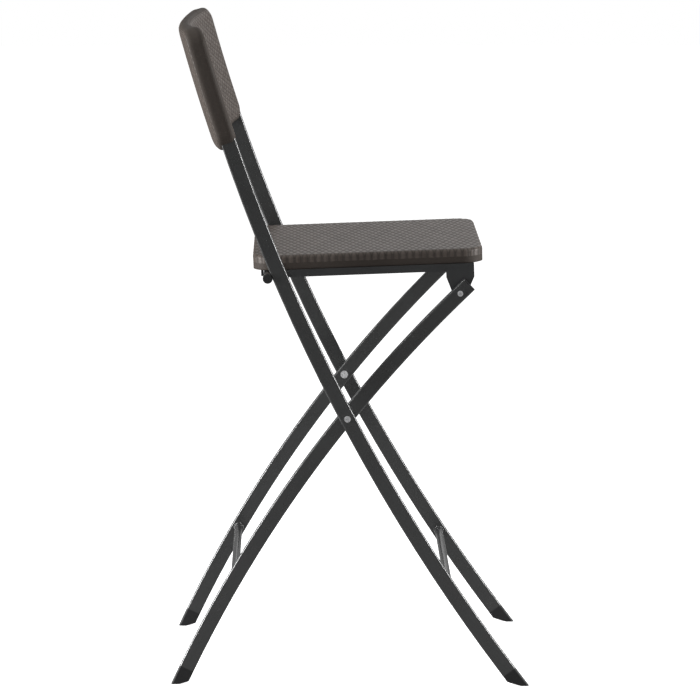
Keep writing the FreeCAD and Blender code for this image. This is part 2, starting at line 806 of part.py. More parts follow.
def cylinder(name, place, turn, radius, height):
    """A cylinder in the seat's own frame, along a direction given by a rotation."""
    item = doc.addObject("Part::Cylinder", name)
    item.Radius = radius.value
    item.Height = height.value
    item.setExpression("Radius", radius.formula)
    item.setExpression("Height", height.formula)
    base = FreeCAD.Vector(*(amount.value for amount in place))
    item.Placement = FreeCAD.Placement(base, turn)
    for letter, amount in zip("xyz", place):
        item.setExpression(f"Placement.Base.{letter}", amount.formula)
    return item


def group(label, items):
    """Several separate solids as one node, placed with the seat."""
    compound = doc.addObject("Part::Compound", label)
    compound.Label = label
    compound.Links = items
    turned = FreeCAD.Rotation(FreeCAD.Vector(1, 0, 0), seat_turn.value)
    compound.Placement = FreeCAD.Placement(FreeCAD.Vector(0, hinge_y.value, hinge_z.value), turned)
    compound.setExpression("Placement.Base.y", hinge_y.formula)
    compound.setExpression("Placement.Base.z", hinge_z.formula)
    compound.setExpression("Placement.Rotation.Angle", seat_turn.formula)
    return compound


def headed(name, parts):
    """One solid made of several cylinders."""
    fused = doc.addObject("Part::MultiFuse", name)
    fused.Shapes = parts
    fused.Refine = True
    return fused


def make_rivets():
    """Rivets through the hinge plates and rails."""
    along_x = FreeCAD.Rotation(FreeCAD.Vector(0, 1, 0), 90)
    rivets = []
    for side in SIDES.values():
        low, high = between(side, rail_inner, plate_outer)
        head_low, head_high = between(side, plate_outer, plate_outer + dim["rivet_head"])
        for place, up in rivet_places():
            shank = cylinder("Shank", (low, place, up), along_x, dim["rivet_radius"], high - low)
            head_at = (head_low, place, up)
            head = cylinder("Head", head_at, along_x, dim["rivet_head_radius"], head_high - head_low)
            rivets.append(headed("Rivet", [shank, head]))
    group("hinge_rivets", rivets)


def make_seat_screws():
    """Screws up through the rails into the panel's rim."""
    upright = FreeCAD.Rotation()
    shelf = under - dim["rail_sheet"]
    screws = []
    for side in SIDES.values():
        for place in screw_places():
            across = side * screw_across()
            shank_at = (across, place, shelf)
            length = dim["screw_length"]
            shank = cylinder("Shank", shank_at, upright, dim["screw_radius"], length)
            head_at = (across, place, shelf - dim["screw_head"])
            head = cylinder("Head", head_at, upright, dim["screw_head_radius"], dim["screw_head"])
            screws.append(headed("Screw", [shank, head]))
    group("seat_screws", screws)


make_long_legs()
make_footrest("front_footrest", long_curve, long_inner)
make_rod()
make_backrest()
make_leg_pivots()
make_rear_legs()
make_footrest("rear_footrest", rear_curve, rear_inner)
make_seat_hinges()
make_seat_panel()
make_seat_rails()
make_hinge_plates()
make_catches()
make_rivets()
make_seat_screws()
doc.recompute()

nodes = [item for item in doc.Objects if item.TypeId in ("PartDesign::Body", "Part::Compound")]
for item in doc.Objects:
    if "Invalid" in item.State or "Error" in item.State:
        raise ValueError(f"{item.Label}: {item.State}")
for item in nodes:
    if item.Shape.isNull() or not item.Shape.isValid():
        raise ValueError(f"{item.Label}: bad shape")

os.makedirs("parts", exist_ok=True)
for item in nodes:
    item.Shape.exportStep(f"parts/{item.Label}.step")
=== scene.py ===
import json
import math

import bmesh
import bpy
import numpy as np
from mathutils import Euler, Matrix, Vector
from mathutils.bvhtree import BVHTree


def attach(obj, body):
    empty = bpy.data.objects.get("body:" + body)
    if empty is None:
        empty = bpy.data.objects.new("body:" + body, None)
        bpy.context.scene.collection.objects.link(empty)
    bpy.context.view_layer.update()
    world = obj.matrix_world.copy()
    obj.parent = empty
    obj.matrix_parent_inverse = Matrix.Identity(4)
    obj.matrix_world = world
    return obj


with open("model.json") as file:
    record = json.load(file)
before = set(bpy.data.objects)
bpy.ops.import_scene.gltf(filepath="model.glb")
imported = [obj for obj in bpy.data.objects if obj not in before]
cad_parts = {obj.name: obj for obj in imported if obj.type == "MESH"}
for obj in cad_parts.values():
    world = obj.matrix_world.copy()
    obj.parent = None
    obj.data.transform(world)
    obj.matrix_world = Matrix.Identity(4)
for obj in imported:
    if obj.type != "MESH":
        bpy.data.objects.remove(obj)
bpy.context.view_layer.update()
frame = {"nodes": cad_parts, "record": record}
nodes = frame["nodes"]
MM = 0.001

# seat panel, in mm from the hinge bolts and turned by the seat's slope. HINGE itself is in metres
HINGE = (0.0, -0.1846293, 0.6721694)
SEAT_TURN = math.radians(-2.04)
SEAT_HALF = 186.6
SEAT_FRONT = -41.0
SEAT_BACK = 344.245
SEAT_UNDER = 48.5
SEAT_TOP = 72.5
SEAT_CORNER = 35.0
SEAT_ROUND = 5.0

# backrest moulding, in mm: a section turned about the far centre of the long legs' curve
LEG_RADIUS = 3216.0
LEG_LEAN = math.radians(-27.39)
PIVOT = (4.2384, 463.0)
BACK_HALF = 231.0
BACK_REACH = 494.5
BACK_HEIGHT = 208.0
BACK_SIDE = 34.0
BACK_HOLLOW = 30.0
BACK_BULGE = 17.0
BACK_CORNER = 28.0
BACK_ROUND = 9.0
BACK_WALL = 3.8
BACK_FADE = 5.0
BACK_EDGE_ROWS = 5
SNAP = 4.0

# footrest bars and the legs that they are welded to, in mm
REAR_RADIUS = 2282.0
REAR_LEAN = math.radians(38.54)
LONG_INNER = 212.0
REAR_INNER = 191.2
BAR_REACH = 339.0
BAR_RADIUS = 7.0
WELD = 1.7
WELD_STEPS = 96
WELD_SECTION_STEPS = 12
RIPPLES = 17
WAVERS = 5

# woven relief, in mm, its strips running diagonally: it rises from LIFT above the part, backed SINK below
SEAT_PITCH = (35.1, 11.7)
BACK_PITCH = (20.0, 10.0)
LIFT = 0.15
SINK = 0.5
SEAT_RELIEF = 0.6
BACK_RELIEF = 0.45
SEAT_CELL = 2.0
BACK_CELL = 2.4
CREST_POWER = 0.6
FLANK_POWER = 4.0
RIBS_A_STRIP = 4

# the seat's wall is woven down to RIBBED_WALL below the top, with a shallower relief that fades at its end
RIBBED_WALL = 13.0
WALL_SHARE = 0.4
WALL_FADE = 1.5
WALL_ROWS = 10

# turns of the rings that go round a rounded edge, and what counts as nothing or as near, in mm
ROUND_STEPS = np.radians([22.5, 45, 67.5, 90])
TINY = 1e-6
NEAR = 0.01

# grain of the materials, in features a metre
PEEL = 520.0
FINE_PEEL = 1700.0
CLOUD = 22.0
RUB_PATCH = 46.0
RUB_GRIT = 900.0
PITS = 1400.0
FINE_GRAIN = 2600.0
FLOW = 30.0
DULL_SPOTS = 240.0
TURNING_MARKS = 3200.0

# how metallic the zinc is, set so that it looks as bright as in the photo
ZINC_METAL = 0.5

# heights of the bumps, in metres
PEEL_DEPTH = 0.00005
ZINC_DEPTH = 0.00003
GRAIN_DEPTH = 0.00004
MOULDED_DEPTH = 0.00005
WEAVE_DEPTH = 0.0003


class Tree:
    """Adds nodes to a node tree, one call for each."""

    def __init__(self, tree):
        self.tree = tree

    def node(self, kind, inputs=None, **settings):
        item = self.tree.nodes.new(kind)
        for name, value in settings.items():
            setattr(item, name, value)
        for key, value in (inputs or {}).items():
            self.put(item.inputs[key], value)
        return item

    def put(self, socket, value):
        if isinstance(value, bpy.types.NodeSocket):
            self.tree.links.new(value, socket)
        else:
            socket.default_value = value

    def math(self, operation, first, second=0.0, third=0.0):
        inputs = {0: first, 1: second, 2: third}
        return self.node("ShaderNodeMath", inputs, operation=operation).outputs[0]

    def mix(self, share, first, second):
        inputs = {0: share, 2: first, 3: second}
        return self.node("ShaderNodeMix", inputs).outputs[0]

    def mix_color(self, share, first, second):
        inputs = {0: share, 6: first, 7: second}
        return self.node("ShaderNodeMix", inputs, data_type="RGBA").outputs[2]

    def ramp(self, share, low, high, start, end):
        inputs = {0: share, 1: low, 2: high, 3: start, 4: end}
        return self.node("ShaderNodeMapRange", inputs).outputs[0]

    def noise(self, vector, scale, detail=2.0, rough=0.5):
        inputs = {"Vector": vector, "Scale": scale, "Detail": detail, "Roughness": rough}
        return self.node("ShaderNodeTexNoise", inputs).outputs["Fac"]

    def place(self):
        return self.node("ShaderNodeTexCoord").outputs["Object"]

    def group(self, group, **inputs):
        item = self.node("ShaderNodeGroup", node_tree=group)
        for name, value in inputs.items():
            self.put(item.inputs[name], value)
        return item.outputs


def new_group(name, inputs, outputs):
    """A shader node group with the given sockets. Returns its tree helper and its two end nodes."""
    group = bpy.data.node_groups.new(name, "ShaderNodeTree")
    for label, kind in inputs.items():
        group.interface.new_socket(label, in_out="INPUT", socket_type=kind)
    for label, kind in outputs.items():
        group.interface.new_socket(label, in_out="OUTPUT", socket_type=kind)
    tree = Tree(group)
    start = tree.node("NodeGroupInput")
    end = tree.node("NodeGroupOutput")
    return group, tree, start.outputs, end.inputs


def new_material(name):
    """A material with one principled shader. Returns it, its tree helper and that shader."""
    material = bpy.data.materials.new(name)
    material.use_nodes = True
    material.node_tree.nodes.clear()
    tree = Tree(material.node_tree)
    shader = tree.node("ShaderNodeBsdfPrincipled")
    tree.node("ShaderNodeOutputMaterial", {"Surface": shader.outputs[0]})
    return material, tree, shader


def finish_surface(tree, shader, color, rough, height, distance):
    """Gives a shader its color, its roughness and bumps of the given height in metres."""
    tree.put(shader.inputs["Base Color"], color)
    tree.put(shader.inputs["Roughness"], rough)
    inputs = {"Height": height, "Distance": distance, "Strength": 1.0}
    bump = tree.node("ShaderNodeBump", inputs)
    tree.put(shader.inputs["Normal"], bump.outputs[0])


def make_coat_group():
    """Powder coat: fine orange peel, slow tint changes and sparse rubbed spots."""
    inputs = {"Place": "NodeSocketVector"}
    outputs = {"Peel": "NodeSocketFloat", "Cloud": "NodeSocketFloat", "Rub": "NodeSocketFloat"}
    group, tree, start, end = new_group("coat_grain", inputs, outputs)
    place = start["Place"]
    coarse = tree.noise(place, PEEL, 3.0, 0.55)
    fine = tree.noise(place, FINE_PEEL, 2.0, 0.6)
    tree.put(end["Peel"], tree.math("MULTIPLY_ADD", fine, 0.45, coarse))
    tree.put(end["Cloud"], tree.noise(place, CLOUD, 4.0, 0.6))
    patch = tree.ramp(tree.noise(place, RUB_PATCH, 5.0, 0.7), 0.64, 0.74, 0.0, 1.0)
    grit = tree.ramp(tree.noise(place, RUB_GRIT, 2.0, 0.6), 0.5, 0.62, 0.0, 1.0)
    tree.put(end["Rub"], tree.math("MULTIPLY", patch, grit))
    return group


def make_grain_group():
    """Moulded plastic: a fine spark-eroded grain with faint flow marks."""
    inputs = {"Place": "NodeSocketVector"}
    outputs = {"Grain": "NodeSocketFloat", "Flow": "NodeSocketFloat"}
    group, tree, start, end = new_group("moulded_grain", inputs, outputs)
    pits = tree.node("ShaderNodeTexVoronoi", {"Vector": start["Place"], "Scale": PITS})
    fine = tree.noise(start["Place"], FINE_GRAIN, 2.0)
    tree.put(end["Grain"], tree.math("MULTIPLY_ADD", fine, 0.5, pits.outputs["Distance"]))
    tree.put(end["Flow"], tree.noise(start["Place"], FLOW, 3.0, 0.6))
    return group


def make_weave_group():
    """Plain weave of flat ribbed strips, one unit wide: crest height, ribs and one number a strip."""
    inputs = {"Place": "NodeSocketVector"}
    outputs = {"Crest": "NodeSocketFloat", "Ribs": "NodeSocketFloat", "Strip": "NodeSocketFloat"}
    group, tree, start, end = new_group("weave", inputs, outputs)
    parts = tree.node("ShaderNodeSeparateXYZ", {0: start["Place"]}).outputs
    column = tree.math("FLOOR", parts[0])
    row = tree.math("FLOOR", parts[1])
    over_x = tree.math("FRACT", parts[0])
    over_y = tree.math("FRACT", parts[1])
    turn = tree.math("PINGPONG", tree.math("ADD", column, row), 1.0)
    along = tree.mix(turn, over_x, over_y)
    across = tree.mix(turn, over_y, over_x)
    lengthwise = tree.math("SINE", tree.math("MULTIPLY", along, math.pi))
    lengthwise = tree.math("POWER", lengthwise, CREST_POWER)
    off = tree.math("ABSOLUTE", tree.math("MULTIPLY_ADD", across, 2.0, -1.0))
    flat = tree.math("SUBTRACT", 1.0, tree.math("POWER", off, FLANK_POWER))
    tree.put(end["Crest"], tree.math("MULTIPLY", lengthwise, flat))
    ribs = tree.math("COSINE", tree.math("MULTIPLY", across, 2 * math.pi * RIBS_A_STRIP))
    tree.put(end["Ribs"], tree.math("MULTIPLY_ADD", ribs, -0.5, 0.5))
    number = tree.mix(turn, row, tree.math("ADD", column, 0.5))
    cell = tree.node("ShaderNodeCombineXYZ", {0: number, 1: turn}).outputs[0]
    strip = tree.node("ShaderNodeTexWhiteNoise", {"Vector": cell}).outputs["Value"]
    tree.put(end["Strip"], strip)
    return group


coat_grain = make_coat_group()
moulded_grain = make_grain_group()
weave_pattern = make_weave_group()


def make_coat(name, dark, light, rough):
    """Powder coat with a clear sheen, lighter where it is rubbed."""
    material, tree, shader = new_material(name)
    grain = tree.group(coat_grain, Place=tree.place())
    color = tree.mix_color(grain["Cloud"], dark, light)
    rubbed = tree.math("MULTIPLY", grain["Rub"], 0.5)
    color = tree.mix_color(rubbed, color, (0.12, 0.12, 0.125, 1))
    spread = tree.ramp(grain["Cloud"], 0.3, 0.7, rough - 0.04, rough + 0.05)
    spread = tree.math("MULTIPLY_ADD", grain["Rub"], 0.2, spread)
    shader.inputs["Coat Weight"].default_value = 1.0
    shader.inputs["Coat Roughness"].default_value = 0.24
    shader.inputs["Coat IOR"].default_value = 1.65
    finish_surface(tree, shader, color, spread, grain["Peel"], PEEL_DEPTH)
    return material


def make_plastic(name, dark, light, rough, depth, specular=0.5):
    """Moulded plastic without a weave."""
    material, tree, shader = new_material(name)
    grain = tree.group(moulded_grain, Place=tree.place())
    color = tree.mix_color(grain["Flow"], dark, light)
    spread = tree.ramp(grain["Flow"], 0.3, 0.7, rough - 0.05, rough + 0.06)
    shader.inputs["Specular IOR Level"].default_value = specular
    finish_surface(tree, shader, color, spread, grain["Grain"], depth)
    return material


def make_steel(name):
    """Zinc plate, with turning marks and a few dull spots."""
    material, tree, shader = new_material(name)
    place = tree.place()
    dull = tree.noise(place, DULL_SPOTS, 4.0, 0.7)
    marks = tree.noise(place, TURNING_MARKS, 2.0)
    color = tree.mix_color(dull, (0.88, 0.89, 0.90, 1), (0.66, 0.66, 0.67, 1))
    shader.inputs["Metallic"].default_value = ZINC_METAL
    rough = tree.ramp(dull, 0.35, 0.7, 0.22, 0.42)
    finish_surface(tree, shader, color, rough, marks, ZINC_DEPTH)
    return material


def make_woven(name, dark, light, rough):
    """Woven-look plastic: strips of slightly different tints, duller between their crests, with painted
    shade darkening the colour between the crests and a painted highlight lightening it on them.
    """
    material, tree, shader = new_material(name)
    flat = tree.node("ShaderNodeUVMap", uv_map="weave").outputs[0]
    weave = tree.group(weave_pattern, Place=flat)
    grain = tree.group(moulded_grain, Place=tree.place())
    color = tree.mix_color(weave["Strip"], dark, light)
    # painted light: the strip colour is multiplied darker in the hollows between crests as painted shade
    # and brighter on the crests as a painted highlight
    crest_highlight_and_shade = tree.ramp(weave["Crest"], 0.0, 1.0, 0.62, 1.25)
    inputs = {0: 1.0, 6: color, 7: crest_highlight_and_shade}
    painted_light_mix = tree.node("ShaderNodeMix", inputs, data_type="RGBA", blend_type="MULTIPLY")
    spread = tree.ramp(weave["Crest"], 0.0, 1.0, rough + 0.2, rough)
    spread = tree.math("MULTIPLY_ADD", grain["Flow"], 0.08, spread)
    height = tree.math("MULTIPLY_ADD", weave["Ribs"], 0.16, weave["Crest"])
    height = tree.math("MULTIPLY_ADD", grain["Grain"], 0.04, height)
    shader.inputs["Specular IOR Level"].default_value = 0.35
    finish_surface(tree, shader, painted_light_mix.outputs[2], spread, height, WEAVE_DEPTH)
    return material


frame_coat = make_coat("frame_coat", (0.026, 0.027, 0.027, 1), (0.036, 0.037, 0.037, 1), 0.28)
bracket_coat = make_coat("bracket_coat", (0.020, 0.021, 0.022, 1), (0.030, 0.031, 0.032, 1), 0.38)
bright_steel = make_steel("bright_steel")
foot_plastic = make_plastic(
    "foot_plastic", (0.012, 0.012, 0.013, 1), (0.02, 0.02, 0.021, 1), 0.5, GRAIN_DEPTH
)
catch_plastic = make_plastic(
    "catch_plastic", (0.016, 0.016, 0.017, 1), (0.024, 0.024, 0.025, 1), 0.55, GRAIN_DEPTH
)
moulded = make_plastic(
    "moulded_plastic", (0.047, 0.038, 0.032, 1), (0.060, 0.049, 0.042, 1), 0.68, MOULDED_DEPTH, 0.25
)
woven = make_woven("woven_plastic", (0.064, 0.051, 0.043, 1), (0.089, 0.073, 0.063, 1), 0.40)

SLOT_MATERIALS = {
    "frame_coat": frame_coat,
    "bracket_coat": bracket_coat,
    "bright_steel": bright_steel,
    "foot_plastic": foot_plastic,
    "catch_plastic": catch_plastic,
    "woven_plastic": moulded,
}
for part in frame["record"]["subparts"]:
    materials = nodes[part["node"]].data.materials
    for index in range(len(materials)):
        materials[index] = SLOT_MATERIALS[part["material_slot"]]


def weave_height(u, v):
    """Height, 0 to 1, of a plain weave of strips one unit wide."""
    column, row = np.floor(u), np.floor(v)
    turned = (column + row) % 2 > 0.5
    over_x, over_y = u - column, v - row
    along = np.where(turned, over_y, over_x)
    across = np.where(turned, over_x, over_y)
    lengthwise = np.sin(np.pi * along) ** CREST_POWER
    return lengthwise * (1 - np.abs(2 * across - 1) ** FLANK_POWER)


def grid_in_outline(half_x, half_y, corner, cell):
    """A grid over a rectangle with round corners: points, their columns and rows, and the outer loop."""
    columns = 2 * round(half_x / cell)
    rows = 2 * round(half_y / cell)
    at_x = np.linspace(-half_x, half_x, columns + 1)
    at_y = np.linspace(-half_y, half_y, rows + 1)
    x, y = np.meshgrid(at_x, at_y, indexing="ij")
    inset = np.minimum(half_x - np.abs(x), half_y - np.abs(y))
    radius = np.maximum(corner - inset, 0)
    flat_x = half_x - inset - radius
    flat_y = half_y - inset - radius
    over_x = np.maximum(np.abs(x) - flat_x, 0)
    over_y = np.maximum(np.abs(y) - flat_y, 0)
    in_corner = (over_x > TINY) & (over_y > TINY)
    length = np.maximum(np.hypot(over_x, over_y), TINY)
    round_x = np.sign(x) * (flat_x + over_x / length * radius)
    round_y = np.sign(y) * (flat_y + over_y / length * radius)
    points = np.stack([np.where(in_corner, round_x, x), np.where(in_corner, round_y, y)], -1)
    ids = np.arange((columns + 1) * (rows + 1)).reshape(columns + 1, rows + 1)
    loop = np.concatenate([ids[:-1, 0], ids[-1, :-1], ids[:0:-1, -1], ids[0, :0:-1]])
    return points.reshape(-1, 2), ids, loop


def outward_of(points, half_x, half_y, corner):
    """Directions straight out of the outline at points on it."""
    inner = np.array([half_x - corner, half_y - corner])
    over = np.sign(points) * np.maximum(np.abs(points) - inner, 0)
    return over / np.linalg.norm(over, axis=1, keepdims=True)


def grid_faces(ids, flip=False):
    """Faces of a grid of vertex numbers."""
    quads = np.stack([ids[:-1, :-1], ids[1:, :-1], ids[1:, 1:], ids[:-1, 1:]], -1).reshape(-1, 4)
    return quads[:, ::-1] if flip else quads


def ring_faces(first, second):
    """Faces between two loops of as many vertices."""
    return np.stack([first, second, np.roll(second, -1), np.roll(first, -1)], -1)


def make_mesh(name, points, faces, flat, plain, materials=(woven, moulded)):
    """A smooth mesh object from points in metres. plain says which material each face takes."""
    mesh = bpy.data.meshes.new(name)
    mesh.from_pydata(points.tolist(), [], [list(map(int, face)) for face in faces])
    for material in materials:
        mesh.materials.append(material)
    mesh.polygons.foreach_set("material_index", plain.astype(np.int32))
    mesh.validate()
    layer = mesh.uv_layers.new(name="weave")
    corners = np.zeros(len(mesh.loops), dtype=np.int32)
    mesh.loops.foreach_get("vertex_index", corners)
    layer.data.foreach_set("uv", flat[corners].astype(np.float32).ravel())
    for polygon in mesh.polygons:
        polygon.use_smooth = True
    shell = bmesh.new()
    shell.from_mesh(mesh)
    bmesh.ops.recalc_face_normals(shell, faces=shell.faces)
    shell.to_mesh(mesh)
    shell.free()
    piece = bpy.data.objects.new(name, mesh)
    bpy.context.scene.collection.objects.link(piece)
    return piece


def diagonal(plan, pitch):
    """The weave's own coordinates, in strips, of points in mm. pitch is the size of one diamond."""
    over, up = plan[:, 0] / pitch[0], plan[:, 1] / pitch[1]
    return np.column_stack([up + over, up - over])


def shelled(points, normals, faces, flat, relief, plain):
    """Lifts a sheet of faces by the weave's relief and backs it with a smooth sheet a little below."""
    height = weave_height(flat[:, 0], flat[:, 1]) * relief
    outer = points + normals * (LIFT + height)[:, None]
    inner = points - normals * SINK
    count = len(points)
    sides = np.concatenate([np.stack([faces[:, i], faces[:, (i + 1) % 4]], -1) for i in range(4)])
    key = np.sort(sides, axis=1)
    _, index, uses = np.unique(key, axis=0, return_index=True, return_counts=True)
    rim = sides[index[uses == 1]]
    edge = np.stack([rim[:, 1], rim[:, 0], rim[:, 0] + count, rim[:, 1] + count], -1)
    all_faces = np.concatenate([faces, faces[:, ::-1] + count, edge])
    all_plain = np.concatenate([plain, plain, np.ones(len(edge))])
    return np.concatenate([outer, inner]), all_faces, np.concatenate([flat, flat]), all_plain


class Sheet:
    """The points and faces of a sheet, collected part by part."""

    def __init__(self):
        self.points, self.normals, self.maps, self.relief = [], [], [], []
        self.faces, self.plain = [], []
        self.count = 0

    def add_points(self, points, normals, maps, relief):
        """Adds points, with their places on the flat weave. Returns their numbers."""
        self.points.append(points)
        self.normals.append(normals)
        self.maps.append(maps)
        self.relief.append(np.broadcast_to(relief, len(points)))
        self.count += len(points)
        return np.arange(self.count - len(points), self.count)

    def add_faces(self, faces, plain=False):
        self.faces.append(faces)
        self.plain.append(np.full(len(faces), float(plain)))

    def joined(self):
        """Points, normals, maps, relief, faces and plain flags, each as one array."""
        parts = (self.points, self.normals, self.maps, self.relief, self.faces, self.plain)
        return [np.concatenate(part) for part in parts]


def seat_edge():
    """Rings down the seat's edge: distance out, drop, distance along the surface and turn."""
    rings = []
    for turn in ROUND_STEPS:
        across, drop = SEAT_ROUND * math.sin(turn), SEAT_ROUND * (1 - math.cos(turn))
        rings.append((across, drop, turn * SEAT_ROUND, turn))
    wall = SEAT_TOP - SEAT_ROUND - SEAT_UNDER
    for down in np.linspace(0, wall, WALL_ROWS + 1)[1:]:
        rings.append((SEAT_ROUND, SEAT_ROUND + down, SEAT_ROUND * math.pi / 2, math.pi / 2))
    return rings


def make_seat_skin():
    """The woven face of the seat: its top, its rounded edge and its sides."""
    half_y = (SEAT_BACK - SEAT_FRONT) / 2
    middle = (SEAT_BACK + SEAT_FRONT) / 2
    flat_x, flat_y = SEAT_HALF - SEAT_ROUND, half_y - SEAT_ROUND
    corner = SEAT_CORNER - SEAT_ROUND
    plan, ids, loop = grid_in_outline(flat_x, flat_y, corner, SEAT_CELL)
    edge = plan[loop]
    out = outward_of(edge, flat_x, flat_y, corner)
    sheet = Sheet()
    top = np.column_stack([plan, np.full(len(plan), SEAT_TOP)])
    sheet.add_points(top, np.tile([0.0, 0.0, 1.0], (len(plan), 1)), plan, SEAT_RELIEF)
    sheet.add_faces(grid_faces(ids))
    last = loop
    for across, drop, travel, turn in seat_edge():
        places = np.column_stack([edge + out * across, np.full(len(edge), SEAT_TOP - drop)])
        normals = np.column_stack([out * math.sin(turn), np.full(len(edge), math.cos(turn))])
        share = WALL_SHARE if drop > SEAT_ROUND else 1.0
        fade = np.clip((RIBBED_WALL - drop) / WALL_FADE, 0.0, 1.0)
        current = sheet.add_points(places, normals, edge + out * travel, SEAT_RELIEF * share * fade)
        sheet.add_faces(ring_faces(last, current), drop > RIBBED_WALL)
        last = current
    points, normals, maps, relief, faces, plain = sheet.joined()
    points[:, 1] += middle
    made = shelled(points, normals, faces, diagonal(maps, SEAT_PITCH), relief, plain)
    turned = np.array(Euler((SEAT_TURN, 0, 0)).to_matrix())
    place = made[0] * MM @ turned.T + np.array(HINGE)
    return make_mesh("seat_weave", place, *made[1:])


def arc_radius(bulge):
    """Radius of an arc of the given bulge over the backrest's width."""
    return (BACK_HALF ** 2 + bulge ** 2) / (2 * bulge)


def sagitta(bulge, across):
    """Height of that arc at a distance from the middle."""
    radius = arc_radius(bulge)
    return np.sqrt(radius ** 2 - across ** 2) - (radius - bulge)


def back_front(across):
    """How far out the backrest's front face is, at a distance from the middle."""
    return -BACK_SIDE / 2 + sagitta(BACK_HOLLOW, across)


def back_rear(across):
    """How far out its rear face is there."""
    return BACK_SIDE / 2 + sagitta(BACK_BULGE, across)


def back_point(plan, outward):
    """Places, in mm, of points of the backrest, and the directions out of it and up it there."""
    angle = LEG_LEAN + (BACK_REACH + BACK_HEIGHT / 2 + plan[:, 1]) / LEG_RADIUS
    centre_y = PIVOT[0] - LEG_RADIUS * math.cos(LEG_LEAN)
    centre_z = PIVOT[1] - LEG_RADIUS * math.sin(LEG_LEAN)
    far = LEG_RADIUS + outward
    level = np.zeros(len(plan))
    place = np.column_stack([plan[:, 0], centre_y + far * np.cos(angle), centre_z + far * np.sin(angle)])
    radial = np.column_stack([level, np.cos(angle), np.sin(angle)])
    upward = np.column_stack([level, -np.sin(angle), np.cos(angle)])
    return place, radial, upward


def back_edge():
    """Rings round the backrest's edge, front to rear: share of the way, turn and distance travelled."""
    rings = [(0.0, turn, BACK_ROUND * turn) for turn in ROUND_STEPS]
    for share in np.linspace(0, 1, BACK_EDGE_ROWS + 1)[1:-1]:
        rings.append((share, math.pi / 2, BACK_ROUND * (math.pi / 2 + share)))
    rings += [(1.0, turn, BACK_ROUND * turn) for turn in ROUND_STEPS[::-1]]
    return rings


def snap_to(surface, points, first):
    """Moves the points from number first on to the surface, where it is near."""
    for index in range(first, len(points)):
        found = surface.find_nearest(Vector(points[index] * MM), SNAP * MM)
        if found[0] is not None:
            points[index] = np.array(found[0]) / MM


def make_back_skin():
    """The woven faces of the backrest, front and rear, with its plain edge, open below."""
    flat_x, flat_y = BACK_HALF - BACK_ROUND, BACK_HEIGHT / 2 - BACK_ROUND
    corner = BACK_CORNER - BACK_ROUND
    plan, ids, loop = grid_in_outline(flat_x, flat_y, corner, BACK_CELL)
    edge = plan[loop]
    out = outward_of(edge, flat_x, flat_y, corner)
    across = plan[:, 0]
    inset = np.minimum(flat_x - np.abs(across), flat_y - np.abs(plan[:, 1]))
    fade = BACK_RELIEF * np.clip(inset / BACK_FADE, 0, 1)
    sheet = Sheet()
    depths, heights = [], []

    def add(spots, outward, tilt, spread, travel, relief, depth, height):
        """Adds points. tilt and spread are the parts of their normals out of the panel and in it."""
        place, radial, upward = back_point(spots, outward)
        sideways = np.tile([1.0, 0.0, 0.0], (len(spots), 1))
        normals = radial * tilt + sideways * spread[:, :1] + upward * spread[:, 1:]
        normals = normals / np.linalg.norm(normals, axis=1, keepdims=True)
        depths.append(np.full(len(spots), depth))
        heights.append(height)
        return sheet.add_points(place, normals, travel, relief)

    for face, tilt, bulge in ((back_front, -1.0, BACK_HOLLOW), (back_rear, 1.0, BACK_BULGE)):
        slope = np.column_stack([tilt * (across / arc_radius(bulge)), np.zeros(len(plan))])
        add(plan, face(across), tilt, slope, plan, fade, 0.0, plan[:, 1])
    sheet.add_faces(grid_faces(ids, flip=True))
    sheet.add_faces(grid_faces(ids) + len(plan))
    last = loop
    for share, turn, travel in back_edge():
        spots = edge + out * (BACK_ROUND * math.sin(turn))
        depth = BACK_ROUND * (1 - math.cos(turn))
        front = back_front(spots[:, 0]) + depth
        outward = front + (back_rear(spots[:, 0]) - depth - front) * share
        tilt = (2 * share - 1) * math.cos(turn)
        spread = out * math.sin(turn)
        current = add(spots, outward, tilt, spread, edge + out * travel, 0.0, depth, edge[:, 1])
        sheet.add_faces(ring_faces(last, current), math.sin(turn) > 0.5)
        last = current
    sheet.add_faces(ring_faces(last, loop + len(plan)))

    points, normals, maps, relief, faces, plain = sheet.joined()
    depth, height = np.concatenate(depths), np.concatenate(heights)
    panel = BVHTree.FromObject(nodes["backrest_panel"], bpy.context.evaluated_depsgraph_get())
    snap_to(panel, points, 2 * len(plan))
    on_bottom = (height[faces] < -flat_y + NEAR).all(axis=1)
    kept = ~(on_bottom & (depth[faces] > BACK_WALL).any(axis=1))
    made = shelled(points, normals, faces[kept], diagonal(maps, BACK_PITCH), relief, plain[kept])
    return make_mesh("backrest_weave", made[0] * MM, *made[1:])


seat_weave = make_seat_skin()
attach(seat_weave, "seat")

backrest_weave = make_back_skin()
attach(backrest_weave, "long_frame")


def make_welds(name, radius, lean, inner):
    """Rippled weld beads round both ends of a footrest bar, where it meets the legs."""
    angle = lean - BAR_REACH / radius
    middle_y = PIVOT[0] + radius * (math.cos(angle) - math.cos(lean))
    middle_z = PIVOT[1] + radius * (math.sin(angle) - math.sin(lean))
    around = np.linspace(0, 2 * math.pi, WELD_STEPS, endpoint=False)
    tube = np.linspace(0, 2 * math.pi, WELD_SECTION_STEPS, endpoint=False)
    turn, section = np.meshgrid(around, tube, indexing="ij")
    bead = WELD * (1 + 0.14 * np.cos(turn * RIPPLES) + 0.08 * np.sin(turn * WAVERS))
    reach = BAR_RADIUS + bead * (0.2 + np.cos(section))
    ids = np.arange(turn.size).reshape(turn.shape)
    wrapped = np.pad(ids, ((0, 1), (0, 1)), mode="wrap")
    points, faces = [], []
    for side in (-1, 1):
        across = side * (inner - bead * (0.25 + 0.9 * np.sin(section)))
        place = [across, middle_y + reach * np.cos(turn), middle_z + reach * np.sin(turn)]
        faces.append(grid_faces(wrapped) + len(points) * ids.size)
        points.append(np.stack(place, -1).reshape(-1, 3))
    points = np.concatenate(points)
    faces = np.concatenate(faces)
    plain = np.zeros(len(faces))
    welds = make_mesh(name, points * MM, faces, points[:, :2], plain, materials=(frame_coat,))
    return welds


